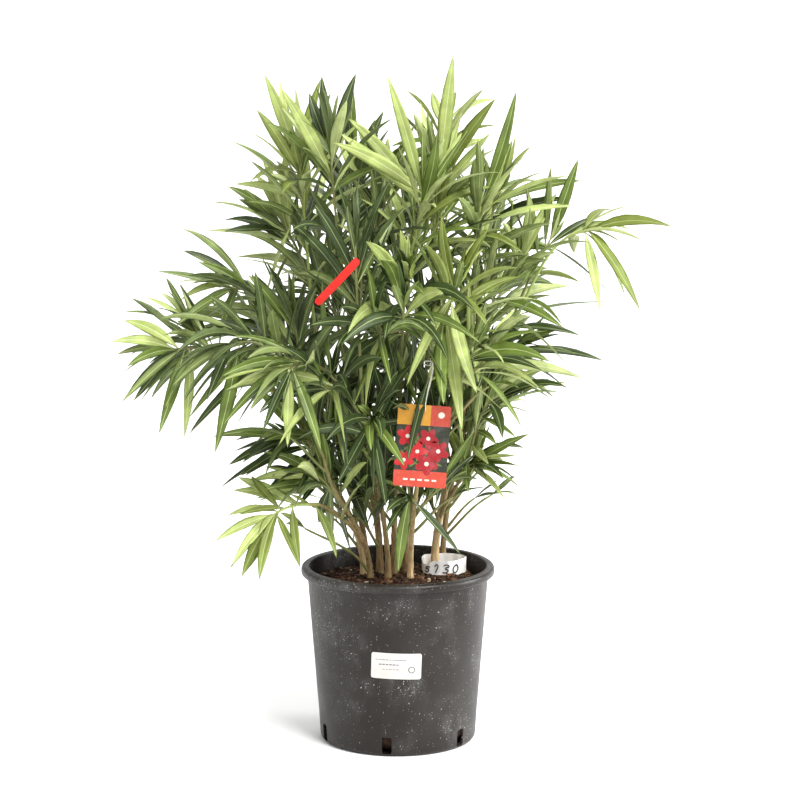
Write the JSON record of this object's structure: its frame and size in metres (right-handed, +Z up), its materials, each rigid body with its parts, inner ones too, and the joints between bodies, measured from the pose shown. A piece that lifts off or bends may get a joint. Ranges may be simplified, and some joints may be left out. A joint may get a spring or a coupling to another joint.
{
  "type": "potted shrub",
  "caption": "Potted leafy shrub: upright woody canes in a round nursery pot fork into shoots with whorls of long narrow leaves.",
  "frame": {"origin": "middle of the pot's flat underside", "axes": "+Z up along the canes, front of the plant towards -Y, +X to the right seen from the front"},
  "size_m": [0.7887, 0.6607, 0.9916],
  "materials": {
    "pot": "charcoal black moulded plastic, matt with a soft sheen",
    "compost": "dark brown crumbs of compost and bark, matt",
    "bark": "thin greyish brown bark, matt",
    "leaf": "leathery green leaves with a soft sheen",
    "card": "printed card, semi-gloss",
    "paper": "white paper, matt",
    "tie": "bright red plastic strip, satin"
  },
  "bodies": {
    "root": {"cane_far_left": "bark", "cane_left_front": "bark", "cane_left": "bark", "cane_front_left": "bark", "cane_middle_left": "bark", "cane_middle": "bark", "cane_front": "bark", "cane_middle_right": "bark", "cane_right": "bark", "cane_right_back": "bark", "cane_back": "bark", "cane_back_left": "bark", "bough_right": "bark", "bough_right_low": "bark", "bough_front_right": "bark", "bough_left": "bark", "bough_left_low": "bark", "pot": "pot", "compost": "compost", "pot_sticker": "paper", "paper_band": "paper", "hang_card": "card", "card_loop": "paper", "red_tie": "tie", "shoot_far_left": "leaf", "shoot_left_arch": "leaf", "shoot_left_hanging": "leaf", "shoot_left_star": "leaf", "shoot_low_left": "leaf", "shoot_left_low_dark": "leaf", "shoot_left_high": "leaf", "shoot_left_mid": "leaf", "shoot_top_left": "leaf", "shoot_top_left_front": "leaf", "shoot_top_middle": "leaf", "shoot_top_centre": "leaf", "shoot_top": "leaf", "shoot_top_back": "leaf", "shoot_top_right": "leaf", "shoot_right_back_high": "leaf", "shoot_right": "leaf", "shoot_right_upright": "leaf", "shoot_right_mid": "leaf", "shoot_right_low": "leaf", "shoot_right_lowest": "leaf", "shoot_front_light": "leaf", "shoot_front": "leaf", "shoot_front_left": "leaf", "shoot_front_low": "leaf", "shoot_front_right": "leaf", "shoot_centre_low": "leaf", "shoot_foot": "leaf", "shoot_foot_left": "leaf", "shoot_back": "leaf", "shoot_back_low": "leaf", "shoot_back_left": "leaf", "shoot_back_left_low": "leaf", "shoot_back_left_lowest": "leaf", "shoot_back_right": "leaf", "shoot_back_right_low": "leaf"}
  },
  "joints": []
}
